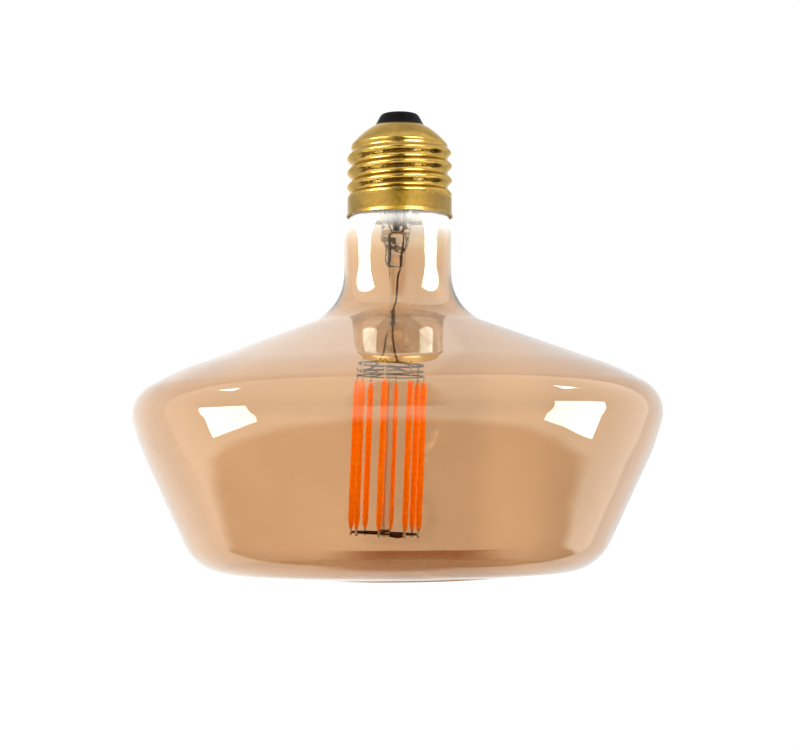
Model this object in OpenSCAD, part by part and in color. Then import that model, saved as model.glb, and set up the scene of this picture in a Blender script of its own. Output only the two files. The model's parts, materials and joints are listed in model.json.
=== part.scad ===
// Amber flat-disc filament bulb with a smart driver in its E27 screw cap.
// Millimetres. +Z points out of the cap. The origin is the centre of the flat on the centre contact.

/* [Glass envelope] */
// Overall height, from the contact to the lowest point of the glass
bulb_h = 117; // [112:0.5:122]
// Widest diameter of the disc
disc_d = 131.2; // [120:0.2:140]
// Diameter of the clear neck
neck_d = 27; // [26.6:0.1:29]
// Height at which the neck starts to open into the shoulder, below the contact
neck_end = 40.6; // [38:0.1:43]
// Radius of the hollow curve between neck and shoulder
neck_fillet = 13.3; // [9:0.1:16]
// Slope of the shoulder below the horizontal, in degrees
shoulder_slope = 20.4; // [17:0.1:24]
// Rounding of the widest rim
rim_round = 8.3; // [6:0.1:12]
// Radius of the easing curves that lead into the rim from the shoulder and from the lower wall
ease_r = 60; // [30:5:90]
// Radius of the ring on which the rounding of the base is centred
base_ring_r = 41.6; // [38:0.2:48]
// Rounding between the lower wall and the base
base_round = 12; // [5:0.1:14]
// Radius of the dome that forms the base
base_dome_r = 400; // [250:10:900]
// Thickness of the blown glass
glass_t = 0.7; // [0.6:0.05:1.2]

/* [Screw cap] */
// Height of the cap, from the contact to the rim of the skirt
cap_h = 26.5; // [25:0.1:28]
// Diameter of the plain skirt
skirt_d = 26.2; // [26:0.05:26.3]
// Diameter over the crests of the screw thread
crest_d = 26.4; // [26.1:0.05:26.45]
// Depth of the rolled thread
thread_depth = 1.1; // [0.9:0.05:1.2]
// Pitch of the E27 thread
thread_pitch = 3.629;
// Thickness of the brass sheet
sheet_t = 0.35; // [0.3:0.05:0.4]
// Diameter of the centre contact
contact_d = 6.8; // [6:0.1:8]

/* [Stem and filament cage] */
// Sideways offset of the stem where it is sealed to the neck
stem_offset = -0.6; // [-0.8:0.1:0]
// Lean of the stem and cage, in degrees
stem_lean = 2.2; // [0:0.1:2.6]
// Outer diameter of the flare tube
flare_d = 7.3; // [6.9:0.1:7.8]
// Diameter of the clear glass support rod
rod_d = 2.25; // [1.8:0.05:2.6]
// Number of filaments round the cage
filament_count = 8;
// Radius of the circle on which the filaments stand
cage_r = 8.5; // [8:0.1:10]
// Diameter of a filament over its phosphor coat
filament_d = 1.55; // [1.3:0.05:1.8]
// Length of the phosphor coat
filament_len = 37.6; // [34:0.1:38]
// Height of the top of the phosphor coat, below the contact
filament_top = 66.9; // [66.5:0.1:67.5]
// Diameter of the ring and lead wires
wire_d = 0.5; // [0.4:0.05:0.6]

/* [Driver] */
// Diameter of the round driver board
board_d = 20.6; // [19:0.1:21]
// Thickness of both circuit boards
board_t = 1; // [0.8:0.1:1.2]

/* [Hidden] */

$fn = 64;

// Colours that several sub-parts share
brass_tint = [0.78, 0.62, 0.28];
solder_tint = [0.72, 0.72, 0.74];
clear_tint = [0.92, 0.94, 0.95, 0.5];
wire_tint = [0.42, 0.36, 0.32];

// ---- Profiles ----

// Points along an arc of centre c, from angle a0 to a1
function arc(c, r, a0, a1, n) = [for (i = [0 : n]) let (a = a0 + (a1 - a0) * i / n) c + r * [cos(a), sin(a)]];

// Centre of the arc of radius r from p to q that bulges to the right of the way from p to q
function arc_centre(p, q, r) =
    let (half = norm(q - p) / 2, along = (q - p) / (2 * half))
    (p + q) / 2 - [along[1], -along[0]] * sqrt(r * r - half * half);

// Smooth step from 0 to 1
function blend(t) = let (u = max(0, min(1, t))) u * u * (3 - 2 * u);

// Glass: each arc keeps its centre, and its radius changes by the depth under the outer surface
neck_r = neck_d / 2;
neck_seal_r = 12.4;                 // neck inside the cap
neck_top = -22.8;                   // where the neck is fused to the flare
neck_full = -32.5;                  // where the neck has reached its full diameter
neck_swell = 16;                    // rounding from the capped end to the full neck
swell_turn = acos((neck_seal_r - neck_r) / neck_swell + 1);
fillet_c = [neck_r + neck_fillet, -neck_end];
fillet_turn = 90 - shoulder_slope;
shoulder_n = [cos(fillet_turn), sin(fillet_turn)];
fillet_foot = fillet_c - neck_fillet * shoulder_n;
shoulder_ease = 11;                 // degrees that the rim turns through in the easing under the shoulder
wall_ease = 15;                     // degrees below the widest point at which the lower easing starts
rim_turn = fillet_turn - shoulder_ease;
rim_c_r = disc_d / 2 - rim_round;
rim_c = [rim_c_r, (shoulder_n * fillet_foot - ease_r + (ease_r - rim_round) * cos(shoulder_ease)
    - shoulder_n[0] * rim_c_r) / shoulder_n[1]];
upper_ease_c = rim_c - (ease_r - rim_round) * [cos(rim_turn), sin(rim_turn)];
lower_ease_c = rim_c - (ease_r - rim_round) * [cos(wall_ease), -sin(wall_ease)];
dome_reach = base_dome_r - base_round;
dome_turn = asin(base_ring_r / dome_reach);
base_c = [base_ring_r, -bulb_h + base_dome_r - dome_reach * cos(dome_turn)];
dome_c = [0, base_dome_r - bulb_h];
wall_way = lower_ease_c - base_c;
wall_turn = atan2(wall_way[1], wall_way[0]) - acos((base_round - ease_r) / norm(wall_way));

function glass_profile(depth) = concat(
    [[neck_seal_r - depth, neck_top]],
    arc([neck_r - neck_swell, neck_full], neck_swell - depth, swell_turn, 0, 8),
    arc(fillet_c, neck_fillet + depth, 180, 180 + fillet_turn, 20),
    arc(upper_ease_c, ease_r - depth, fillet_turn, rim_turn, 8),
    arc(rim_c, rim_round - depth, rim_turn, -wall_ease, 18),
    arc(lower_ease_c, ease_r - depth, -wall_ease, wall_turn, 8),
    arc(base_c, base_round - depth, wall_turn, dome_turn - 90, 16),
    arc(dome_c, base_dome_r - depth, dome_turn - 90, -90, 8)
);

// ---- Stem frame: everything held by the stem leans with it ----

module on_stem() {
    translate([stem_offset, 0, neck_top]) rotate([0, stem_lean, 0]) translate([0, 0, -neck_top]) children();
}

// Straight round wire from p to q
module bar(p, q, d) {
    way = q - p;
    flat = norm([way[0], way[1]]);
    translate(p) rotate([0, atan2(flat, way[2]), atan2(way[1], way[0])]) cylinder(d = d, h = norm(way));
}

// Bent round wire through a list of points. A bead a little wider than the wire closes each bend,
// turned so that its poles lie off the wire.
module wire(points, d) {
    for (i = [1 : len(points) - 1]) bar(points[i - 1], points[i], d);
    for (i = [1 : 1 : len(points) - 2]) translate(points[i]) rotate([37, 51, 0]) sphere(d = 1.1 * d);
}

module ring_wire(r, z, d) {
    translate([0, 0, z]) rotate_extrude() translate([r, 0]) circle(d = d, $fn = 24);
}

module tube(r_out, r_in, z0, z1) {
    translate([0, 0, z0]) rotate_extrude() translate([r_in, 0]) square([r_out - r_in, z1 - z0]);
}

// ---- Screw cap ----

skirt_r = skirt_d / 2;
mean_r = (crest_d - thread_depth) / 2;
shoulder_r = 12.1;
shoulder_z = -8.4;                  // foot of the shoulder, top of the thread
lip_r = 6.5;
lip_z = -3.5;                       // edge of the opening that holds the insulator
shoulder_round = 17;
skirt_top = -22;                    // where the thread runs out into the plain skirt
crest_z = -10;                      // height of one crest on the +X side
fade = 2.4;                         // length over which the thread fades in and out
shell_segments = 54;
shell_rings = 34;

function thread_fade(z) = blend((shoulder_z - z) / fade) * blend((z - skirt_top) / fade);
function thread_base(z) = mean_r
    + (skirt_r - mean_r) * (1 - blend((z - skirt_top) / fade))
    + (shoulder_r - mean_r) * (1 - blend((shoulder_z - z) / fade));
function thread_r(a, z) =
    thread_base(z) + thread_depth / 2 * thread_fade(z) * cos(360 * (z - crest_z) / thread_pitch - a);

// Rolled thread as one closed sheet, from the top of the skirt to the foot of the shoulder
module rolled_thread() {
    n = shell_segments;
    rows = shell_rings + 1;
    skins = [for (depth = [0, sheet_t], k = [0 : shell_rings], i = [0 : n - 1])
        let (a = 360 * i / n, z = skirt_top + (shoulder_z - skirt_top) * k / shell_rings, r = thread_r(a, z) - depth)
        [r * cos(a), r * sin(a), z]];
    outside = [for (k = [0 : shell_rings - 1], i = [0 : n - 1], half = [0, 1])
        let (p = k * n + i, q = k * n + (i + 1) % n) half == 0 ? [p, q + n, q] : [p, p + n, q + n]];
    inside = [for (f = outside) [f[2], f[1], f[0]] + rows * n * [1, 1, 1]];
    foot = [for (i = [0 : n - 1], half = [0, 1])
        let (p = i, q = (i + 1) % n, m = rows * n) half == 0 ? [p, q, q + m] : [p, q + m, p + m]];
    head = [for (f = foot) [f[2], f[1], f[0]] + shell_rings * n * [1, 1, 1]];
    polyhedron(points = skins, faces = concat(outside, inside, foot, head));
}

// The plain skirt and the shoulder stand a hair proud of the thread's facets on both faces
module screw_shell() {
    proud = 0.02;
    flare = 0.3;
    flare_h = 0.6;
    out_r = skirt_r + proud;
    in_r = skirt_r - sheet_t - proud;
    foot = [shoulder_r + proud, shoulder_z];
    lip = [lip_r, lip_z];
    c = arc_centre(foot, lip, shoulder_round);
    a0 = atan2(foot[1] - c[1], foot[0] - c[0]);
    a1 = atan2(lip[1] - c[1], lip[0] - c[0]);
    color(brass_tint) {
        rolled_thread();
        rotate_extrude() polygon([
            [out_r, skirt_top], [out_r, -cap_h + flare_h], [out_r + flare, -cap_h],
            [in_r + flare, -cap_h], [in_r, -cap_h + flare_h], [in_r, skirt_top]
        ]);
        rotate_extrude() polygon(concat(
            arc(c, shoulder_round, a0, a1, 10),
            arc(c, shoulder_round - sheet_t, a1, a0 + 1, 10),
            [[shoulder_r - sheet_t - proud, shoulder_z]]
        ));
    }
}

// Black glass that holds the contact clear of the shell
insulator_top = -0.75;
insulator_foot = -7.5;
eyelet_r = 1.2;                     // hollow rivet of the contact, through the insulator

module cap_insulator() {
    color([0.06, 0.06, 0.07]) rotate_extrude() polygon([
        [eyelet_r, insulator_top], [contact_d / 2 + 1.3, insulator_top], [contact_d / 2 + 1.65, -1.15],
        [lip_r - 0.35, -3], [lip_r - 0.05, lip_z], [6.2, lip_z - 0.1], [6.2, insulator_foot + 0.6],
        [5.6, insulator_foot], [eyelet_r, insulator_foot]
    ]);
}

contact_face = -0.35;               // face of the brass disc under the solder
bore_r = 0.7;

module centre_contact() {
    color(brass_tint) rotate_extrude() polygon([
        [bore_r, contact_face], [contact_d / 2 - 0.2, contact_face], [contact_d / 2, contact_face - 0.2],
        [contact_d / 2, insulator_top], [eyelet_r, insulator_top], [eyelet_r, -4.6], [bore_r, -4.6]
    ]);
}

// Low solder button; its worn flat top is the contact face
module contact_solder() {
    flat_r = 1.3;
    color(solder_tint) rotate_extrude() polygon([
        [0, 0], [flat_r, 0], [1.9, -0.12], [2.2, contact_face], [bore_r, contact_face], [bore_r, -1.4], [0, -1.4]
    ]);
}

// Drop of solder that joins the neutral wire to the shoulder, on the back of the cap
side_solder_a = 75;                 // direction round the cap
side_solder_z = -6.1;
side_solder_r = 10.2;

module side_solder() {
    color(solder_tint) rotate([0, 0, side_solder_a]) difference() {
        translate([side_solder_r - 0.15, 0, side_solder_z]) sphere(r = 1.25, $fn = 32);
        rotate_extrude() polygon(concat(
            [[0, -12]], [[shoulder_r + 0.02, -12]], [[shoulder_r + 0.02, shoulder_z]],
            let (foot = [shoulder_r + 0.02, shoulder_z], lip = [lip_r, lip_z], c = arc_centre(foot, lip, shoulder_round))
            arc(c, shoulder_round, atan2(foot[1] - c[1], foot[0] - c[0]), atan2(lip[1] - c[1], lip[0] - c[0]), 10),
            [[0, lip_z]]
        ));
    }
}

// Ring of cement that bonds the neck into the skirt
module basing_cement() {
    color([0.85, 0.82, 0.74]) tube(skirt_r - sheet_t - 0.02, neck_seal_r, -cap_h + 0.8, skirt_top - 0.1);
}

// ---- Glass ----

module glass_envelope() {
    inner = glass_profile(glass_t);
    n = len(inner);
    color([0.83, 0.58, 0.36, 0.4]) rotate_extrude() polygon(concat(
        glass_profile(0), [for (i = [n - 1 : -1 : 0]) inner[i]]
    ));
}

// Flare, tube and flat pinch of the stem. The pinch seals round the two lead wires.
flare_t = 0.75;
flare_r = flare_d / 2;
bell_round = 3.8;
tube_foot = -31.4;                  // end of the open tube, top of the pinch
pinch_foot = -39;
lead_gap = 1.25;                    // half the distance between the leads in the pinch

module stem_flare() {
    bell_c = [flare_r + bell_round, neck_top - bell_round];
    pinch_t = 3.4;
    color(clear_tint) difference() {
        union() {
            rotate_extrude() polygon(concat(
                [[0, neck_top + flare_t], [neck_seal_r, neck_top + flare_t], [neck_seal_r, neck_top]],
                arc(bell_c, bell_round, 90, 180, 12),
                [[0, bell_c[1]]]
            ));
            on_stem() translate([0, 0, tube_foot]) cylinder(r = flare_r, h = bell_c[1] + 0.6 - tube_foot);
            on_stem() intersection() {
                translate([0, 0, pinch_foot]) cylinder(r1 = 2.1, r2 = flare_r, h = tube_foot - pinch_foot);
                translate([-flare_d, -pinch_t / 2, pinch_foot - 1]) cube([2 * flare_d, pinch_t, tube_foot - pinch_foot + 1]);
            }
        }
        rotate_extrude() polygon(concat(
            [[0, neck_top + flare_t + 1], [bell_c[0], neck_top + flare_t + 1]],
            arc(bell_c, bell_round + flare_t, 90, 180, 12),
            [[0, bell_c[1]]]
        ));
        on_stem() translate([0, 0, tube_foot + 0.6]) cylinder(r = flare_r - flare_t, h = neck_top - tube_foot);
        for (side = [-1, 1]) on_stem() bar([side * lead_gap, 0, tube_foot + 1], [side * lead_gap, 0, pinch_foot - 1], wire_d);
    }
}

exhaust_d = 1.6;

module exhaust_tube() {
    tip = -21.4;
    color(clear_tint) on_stem() difference() {
        union() {
            translate([0, 0, tube_foot + 0.6]) cylinder(d = exhaust_d, h = tip - tube_foot - 0.6);
            translate([0, 0, tip]) sphere(d = exhaust_d * 1.02, $fn = 32);
        }
        translate([0, 0, tube_foot]) cylinder(d = exhaust_d - 0.7, h = tip - tube_foot - 0.3);
    }
}

rod_foot = -105.2;
rod_r = rod_d / 2;
rod_bead_r = 1.1 * rod_r;           // fused end of the rod

module support_rod() {
    color(clear_tint) on_stem() {
        translate([0, 0, rod_foot]) cylinder(d = rod_d, h = pinch_foot - rod_foot);
        translate([0, 0, rod_foot]) sphere(r = rod_bead_r, $fn = 32);
    }
}

// ---- Wires that feed the cage ----

lead_top = -20.4;
upper_z = [-63.3, -65.3];           // heights of the two upper rings: positive, negative
lower_z = -105.4;
ring_r = cage_r - wire_d;           // the rings run just inside the pins
feed_r = ring_r - wire_d;           // the feeds end against the inside of a ring
feed_a = -70;
clip_top = -50.4;
clip_foot = -54.2;
clip_y = -rod_r - 0.75;             // the clip lies against the front of the rod

module lead_wire_positive() {
    color(wire_tint) on_stem() wire([
        [1.9, 0, lead_top], [1.9, 0, -27.5], [lead_gap, 0, tube_foot + 0.6], [lead_gap, 0, pinch_foot - 0.4],
        [0.85, -1.2, -41.5], [0.7, -1.4, -47], [0.1, -1.55, -49.4], [0.1, clip_y, clip_top]
    ], wire_d);
}

module lead_wire_negative() {
    color(wire_tint) on_stem() wire([
        [-1.9, 0, lead_top], [-1.9, 0, -27.5], [-lead_gap, 0, tube_foot + 0.6], [-lead_gap, 0, pinch_foot - 0.4],
        [-0.9, 1.25, -42], [-0.9, 1.25, -55], [-1.5, 0.3, -57.5], [-2.1, 0, -61.5],
        [-feed_r, 0, upper_z[1]]
    ], wire_d);
}

// Crimped sleeve and binding that join the positive lead to the cage
module lead_clip() {
    color([0.3, 0.22, 0.16]) on_stem() {
        translate([0.1, clip_y, clip_foot]) cylinder(d = 1, h = clip_top - clip_foot);
        for (z = [clip_foot + 0.8, clip_top - 0.8]) translate([0.1, clip_y, z]) rotate([0, 8, 0])
            rotate_extrude() translate([0.55, 0]) circle(d = 0.4, $fn = 24);
    }
}

module positive_feed() {
    color(wire_tint) on_stem() wire([
        [0.1, clip_y, clip_foot], [0.3, -1.9, -57], [0.9, -2.4, -61],
        [feed_r * cos(feed_a), feed_r * sin(feed_a), upper_z[0]]
    ], wire_d);
}

// ---- Filament cage ----

first_a = -99;                      // direction of filament_1; the next ones follow anticlockwise
function filament_a(i) = first_a + 360 * (i - 1) / filament_count;
function on_cage(i, r, z) = [r * cos(filament_a(i)), r * sin(filament_a(i)), z];

coat_foot = -filament_top - filament_len;
pin_d = 0.5;

// Phosphor-coated strip: a round bar whose ends taper to the pins
module filament(i) {
    taper = 2.2;
    tip_r = 0.35;
    color([0.93, 0.36, 0.04]) on_stem() translate(on_cage(i, cage_r, coat_foot)) rotate_extrude() polygon([
        [0, 0], [tip_r, 0], [filament_d / 2 - 0.1, taper - 0.5], [filament_d / 2, taper],
        [filament_d / 2, filament_len - taper], [filament_d / 2 - 0.1, filament_len - taper + 0.5],
        [tip_r, filament_len], [0, filament_len]
    ]);
}

module upper_pins() {
    over = 0.9;
    color(solder_tint) on_stem() for (i = [1 : filament_count])
        bar(on_cage(i, cage_r, -filament_top), on_cage(i, cage_r, upper_z[i % 2] + over), pin_d);
}

module lower_pins() {
    under = 0.9;
    color(solder_tint) on_stem() for (i = [1 : filament_count])
        bar(on_cage(i, cage_r, coat_foot), on_cage(i, cage_r, lower_z - under), pin_d);
}

module upper_ring_positive() {
    color(wire_tint) on_stem() ring_wire(ring_r, upper_z[0], wire_d);
}

module upper_ring_negative() {
    color(wire_tint) on_stem() ring_wire(ring_r, upper_z[1], wire_d);
}

// Short wires, fused into the rod, that carry the two upper rings
module upper_anchors() {
    color(wire_tint) on_stem() for (k = [0, 1], side = [0, 180]) {
        a = 40 + 90 * k + side;
        u = [cos(a), sin(a), 0];
        bar(rod_r * u + [0, 0, upper_z[k] + 1], (ring_r - wire_d / 2) * u + [0, 0, upper_z[k]], 0.4);
    }
}

module lower_ring() {
    color(wire_tint) on_stem() ring_wire(ring_r, lower_z, wire_d);
}

module lower_spokes() {
    color(wire_tint) on_stem() for (a = [20, 150, 265]) {
        u = [cos(a), sin(a), 0];
        bar((rod_bead_r + 0.1) * u + [0, 0, rod_foot], (ring_r - wire_d / 2) * u + [0, 0, lower_z], wire_d);
    }
}

// Bent sheet tab at the foot of the rod
module lower_tab() {
    color(wire_tint) on_stem() translate([0.9, -1.6, -107]) rotate([0, -8, 20]) rotate([90, 0, 0])
        linear_extrude(0.15) polygon([[0, 0.9], [2.3, 1.5], [4.4, 0.2], [2.6, 0.1]]);
}

// ---- Driver in the cap ----

sleeve_r = mean_r - thread_depth / 2 - sheet_t - 0.1;
board_z = -19.8;                    // underside of the driver board
deck = board_z + board_t;           // side that carries the parts
green_tint = [0.1, 0.32, 0.18];

// Plastic liner that keeps the driver off the shell
module insulating_sleeve() {
    color([0.9, 0.9, 0.88]) tube(sleeve_r, sleeve_r - 0.5, -20.8, -8.7);
}

module driver_board() {
    color(green_tint) translate([0, 0, board_z]) difference() {
        cylinder(d = board_d, h = board_t);
        translate([-5.1, 0.5, -1]) cube([10.2, 1.2, board_t + 2]);
    }
}

module bridge_rectifier() {
    color([0.1, 0.1, 0.11]) translate([-8, -5.2, deck]) cube([4.2, 3.8, 1.6]);
}

module driver_chip() {
    color([0.12, 0.12, 0.13]) translate([-2.2, -8.6, deck]) cube([4.9, 3.9, 1.5]);
}

module electrolytic_capacitor() {
    color([0.16, 0.2, 0.34]) translate([5.6, -3.4, deck]) union() {
        cylinder(d = 5.6, h = 7);
        translate([0, 0, 0.9]) rotate_extrude() translate([2.8, 0]) circle(d = 0.3, $fn = 24);
    }
}

module inductor() {
    color([0.55, 0.3, 0.14]) translate([-5.2, 4.9, deck]) rotate_extrude() polygon([
        [0, 0], [2.6, 0], [2.6, 0.7], [2, 1], [2, 3.6], [2.6, 3.9], [2.6, 4.6], [0, 4.6]
    ]);
}

module fuse_resistor() {
    color([0.62, 0.3, 0.2]) translate([-3.5, -3.4, deck + 1.3]) union() {
        rotate([0, 90, 0]) cylinder(d = 2.2, h = 5.2);
        for (x = [0.5, 4.7]) translate([x, 0, 0]) rotate([0, 90, 0]) cylinder(d = 2.5, h = 0.9, center = true);
    }
}

module film_capacitor() {
    color([0.75, 0.2, 0.1]) translate([2.2, 4, deck]) cube([5, 2.6, 4]);
}

// Upright radio board that stands in the driver board's slot
radio_y = 0.5;

module wifi_board() {
    color([0.08, 0.1, 0.14]) translate([-5, radio_y, board_z]) union() {
        translate([0, 0.1, 0]) cube([10, board_t, 8.4]);
    }
}

module wifi_shield_can() {
    color([0.8, 0.8, 0.82]) translate([-3.6, radio_y + 0.1 - 1.3, deck + 2.2]) cube([7.2, 1.3, 4.2]);
}

module wifi_header() {
    color([0.75, 0.6, 0.25]) for (x = [-4 : 2 : 4])
        translate([x - 0.25, radio_y + 0.1 + board_t, deck]) cube([0.5, 0.5, 1.6]);
}

// Fine wire under the driver board, where the glass lets the radio waves out
module wifi_antenna() {
    color([0.7, 0.4, 0.2]) translate([0, 0, board_z - 0.45]) {
        rotate([0, 0, 200]) rotate_extrude(angle = 230) translate([8.6, 0]) circle(d = 0.4, $fn = 24);
    }
}

module live_wire() {
    color([0.6, 0.1, 0.08]) wire([
        [0, 0, -1.4], [0.1, 0, -8.4], [8.7, 0.7, -9.8], [8.8, 0.9, deck]
    ], 0.9);
}

module neutral_wire() {
    color([0.12, 0.12, 0.5]) wire([
        [0.4, 8.7, deck], [0.2, 8.9, -10.5], [2.4, 8.7, -7]
    ], 0.9);
}

// Short bare links from the board down to the lead wires
module output_wires() {
    color(wire_tint) on_stem() for (side = [-1, 1])
        bar([side * 1.9, 0, lead_top], [side * 1.9, 0, board_z], wire_d);
}

screw_shell();
cap_insulator();
centre_contact();
contact_solder();
side_solder();
basing_cement();
glass_envelope();
stem_flare();
exhaust_tube();
support_rod();
lead_wire_positive();
lead_wire_negative();
lead_clip();
positive_feed();
upper_ring_positive();
upper_ring_negative();
upper_anchors();
lower_ring();
lower_spokes();
lower_tab();
upper_pins();
lower_pins();
for (i = [1 : filament_count]) filament(i);
insulating_sleeve();
driver_board();
bridge_rectifier();
driver_chip();
electrolytic_capacitor();
inductor();
fuse_resistor();
film_capacitor();
wifi_board();
wifi_shield_can();
wifi_header();
wifi_antenna();
live_wire();
neutral_wire();
output_wires();
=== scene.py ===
"""Amber flat-disc filament lamp with a smart driver in its E27 cap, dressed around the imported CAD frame.

Lengths are named in millimetres and turned into metres by MM. +Z points out of the cap and the origin is
the flat of the centre contact, as in the frame.
"""
import json
import math

import bmesh
import bpy
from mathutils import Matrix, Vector, noise


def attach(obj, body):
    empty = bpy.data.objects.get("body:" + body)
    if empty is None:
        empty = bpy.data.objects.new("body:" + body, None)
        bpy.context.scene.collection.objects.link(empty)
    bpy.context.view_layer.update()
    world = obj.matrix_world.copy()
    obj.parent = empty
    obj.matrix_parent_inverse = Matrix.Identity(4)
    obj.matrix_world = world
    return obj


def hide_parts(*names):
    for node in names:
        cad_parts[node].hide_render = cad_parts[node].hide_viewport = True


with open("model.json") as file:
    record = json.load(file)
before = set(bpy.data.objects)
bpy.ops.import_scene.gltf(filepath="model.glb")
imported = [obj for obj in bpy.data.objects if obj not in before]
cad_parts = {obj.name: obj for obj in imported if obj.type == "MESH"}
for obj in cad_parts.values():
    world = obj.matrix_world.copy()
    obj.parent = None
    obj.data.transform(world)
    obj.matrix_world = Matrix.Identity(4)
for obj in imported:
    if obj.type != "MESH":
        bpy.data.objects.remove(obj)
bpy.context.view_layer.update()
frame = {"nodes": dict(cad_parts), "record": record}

MM = 0.001

# ---- Driving sizes, in millimetres, as in the frame ----

CAP_H = 26.5
SKIRT_R = 13.1
CREST_R = 13.2
THREAD_DEPTH = 1.1
THREAD_PITCH = 3.629
THREAD_CREST_Z = -10
SHEET_T = 0.35
SHOULDER = (12.1, -8.4)
LIP = (6.5, -3.5)
SHOULDER_ROUND = 17
SKIRT_TOP = -22
RIM_FLARE = 0.3

BULB_H = 117
RIM_R = 65.6
NECK_R = 13.5
NECK_SEAL_R = 12.4
NECK_TOP = -22.8
NECK_FULL = -32.5
NECK_SWELL = 16
NECK_END = -40.6
NECK_FILLET = 13.3
SHOULDER_SLOPE = math.radians(20.4)
RIM_ROUND = 8.3
EASE_R = 60
SHOULDER_EASE = math.radians(11)
WALL_EASE = math.radians(15)
BASE_RING_R = 41.6
BASE_ROUND = 12
BASE_DOME_R = 400
GLASS_T = 0.7
DISC_T = 0.25
THIN_FROM = NECK_END + 2
THIN_FADE = 14
GLASS_SHIFT = -0.5
GLASS_TILT = 0.008
COAT_START = -26
COAT_FULL = -40
POOL_DEPTHS = (-116.4, -113.6)

STEM_OFFSET = -0.6
STEM_LEAN = math.radians(2.2)
FLARE_R = 3.65
FLARE_T = 0.75
BELL_ROUND = 3.8
WELD_FOOT = -23.6
TUBE_FOOT = -31.4
PINCH_FOOT = -39
ROD_R = 1.125
ROD_FOOT = -105.2
LEAD_GAP = 1.25

FILAMENTS = 8
FIRST_ANGLE = -99
CAGE_R = 8.5
FILAMENT_R = 0.775
FILAMENT_TOP = -66.9
FILAMENT_FOOT = -104.5
WIRE_D = 0.5
RING_R = CAGE_R - WIRE_D
UPPER_Z = (-63.3, -65.3)
LOWER_Z = -105.4


# ---- Mesh helpers ----

def arc(centre, radius, start, end, count):
    """Points of an arc from one angle to another, in radians."""
    steps = [start + (end - start) * i / count for i in range(count + 1)]
    return [(centre[0] + radius * math.cos(a), centre[1] + radius * math.sin(a)) for a in steps]


def between(ends, t):
    """Point of the straight line from one (r, z) end, at 0, to the other, at 1."""
    (x0, z0), (x1, z1) = ends
    return x0 + (x1 - x0) * t, z0 + (z1 - z0) * t


def smooth_step(t):
    """0 to 1 with level ends."""
    t = max(0.0, min(1.0, t))
    return t * t * (3 - 2 * t)


def on_stem(point):
    """A point of the upright stem, moved to where the leaning stem has it."""
    x, y, z = point
    dz = z - NECK_TOP
    cos, sin = math.cos(STEM_LEAN), math.sin(STEM_LEAN)
    return Vector((STEM_OFFSET + x * cos + dz * sin, y, NECK_TOP - x * sin + dz * cos))


def new_object(name, verts, faces):
    """Smooth-shaded object from points in millimetres."""
    mesh = bpy.data.meshes.new(name)
    mesh.from_pydata([tuple(MM * c for c in v) for v in verts], [], faces)
    mesh.validate()
    mesh.polygons.foreach_set("use_smooth", [True] * len(mesh.polygons))
    mesh.update()
    obj = bpy.data.objects.new(name, mesh)
    bpy.context.scene.collection.objects.link(obj)
    return obj


def grid_faces(rows, columns, close_rows=False):
    """Quads of a grid whose columns close into rings, and whose rows may too."""
    faces = []
    for k in range(rows if close_rows else rows - 1):
        for i in range(columns):
            a = k * columns + i
            b = k * columns + (i + 1) % columns
            up = columns if k < rows - 1 else -k * columns
            faces.append((a, b, b + up, a + up))
    return faces


def lathe(name, profile, segments, shift=None, closed=True):
    """Revolves (r, z) points. A closed profile makes a ring-like solid; an open one starts and ends on the
    axis."""
    verts, rows = [], []
    for r, z in profile:
        if r < 1e-6:
            rows.append([len(verts)] * segments)
            verts.append((0, 0, z))
            continue
        rows.append(list(range(len(verts), len(verts) + segments)))
        verts += [(r * math.cos(math.tau * i / segments), r * math.sin(math.tau * i / segments), z)
                  for i in range(segments)]
    if shift:
        verts = [shift(v) for v in verts]
    faces = []
    last = len(rows) if closed else len(rows) - 1
    for k in range(last):
        upper, lower = rows[k], rows[(k + 1) % len(rows)]
        for i in range(segments):
            j = (i + 1) % segments
            ring = [upper[i], upper[j], lower[j], lower[i]]
            face = list(dict.fromkeys(ring))
            if len(face) > 2:
                faces.append(face)
    obj = new_object(name, verts, faces)
    turn_outward(obj)
    return obj


def turn_outward(obj):
    """Makes every face of a closed mesh face out."""
    bm = bmesh.new()
    bm.from_mesh(obj.data)
    bmesh.ops.recalc_face_normals(bm, faces=bm.faces)
    bm.to_mesh(obj.data)
    bm.free()
    return obj


def smooth_path(points, per_span=8):
    """Catmull-Rom curve through given points."""
    pts = [Vector(p) for p in points]
    pts = [2 * pts[0] - pts[1]] + pts + [2 * pts[-1] - pts[-2]]
    path = []
    for a, b, c, d in zip(pts, pts[1:], pts[2:], pts[3:]):
        for i in range(per_span):
            t = i / per_span
            path.append(0.5 * (2 * b + (c - a) * t + (2 * a - 5 * b + 4 * c - d) * t * t
                               + (3 * b - a - 3 * c + d) * t ** 3))
    path.append(pts[-2])
    return path


def sweep(path, radius, sides=12, close=False):
    """Verts and faces of a round wire along a path. The radius may be a function of the place along it, which
    goes from 0 to 1."""
    count = len(path)
    size = radius if callable(radius) else (lambda t: radius)
    verts, faces = [], []
    previous = (path[1] - path[0]).normalized()
    side = previous.orthogonal().normalized()
    for k, p in enumerate(path):
        after = path[(k + 1) % count] if close or k + 1 < count else p
        before = path[k - 1] if close or k else p
        way = (after - before).normalized()
        side = (previous.rotation_difference(way) @ side).normalized()
        previous = way
        other = way.cross(side)
        r = size(k / (count - 1))
        for i in range(sides):
            a = math.tau * i / sides
            verts.append(p + r * (math.cos(a) * side + math.sin(a) * other))
    faces = grid_faces(count, sides, close)
    if not close:
        verts += [path[0], path[-1]]
        for i in range(sides):
            j = (i + 1) % sides
            end = (count - 1) * sides
            faces.append((j, i, len(verts) - 2))
            faces.append((end + i, end + j, len(verts) - 1))
    return verts, faces


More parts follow.
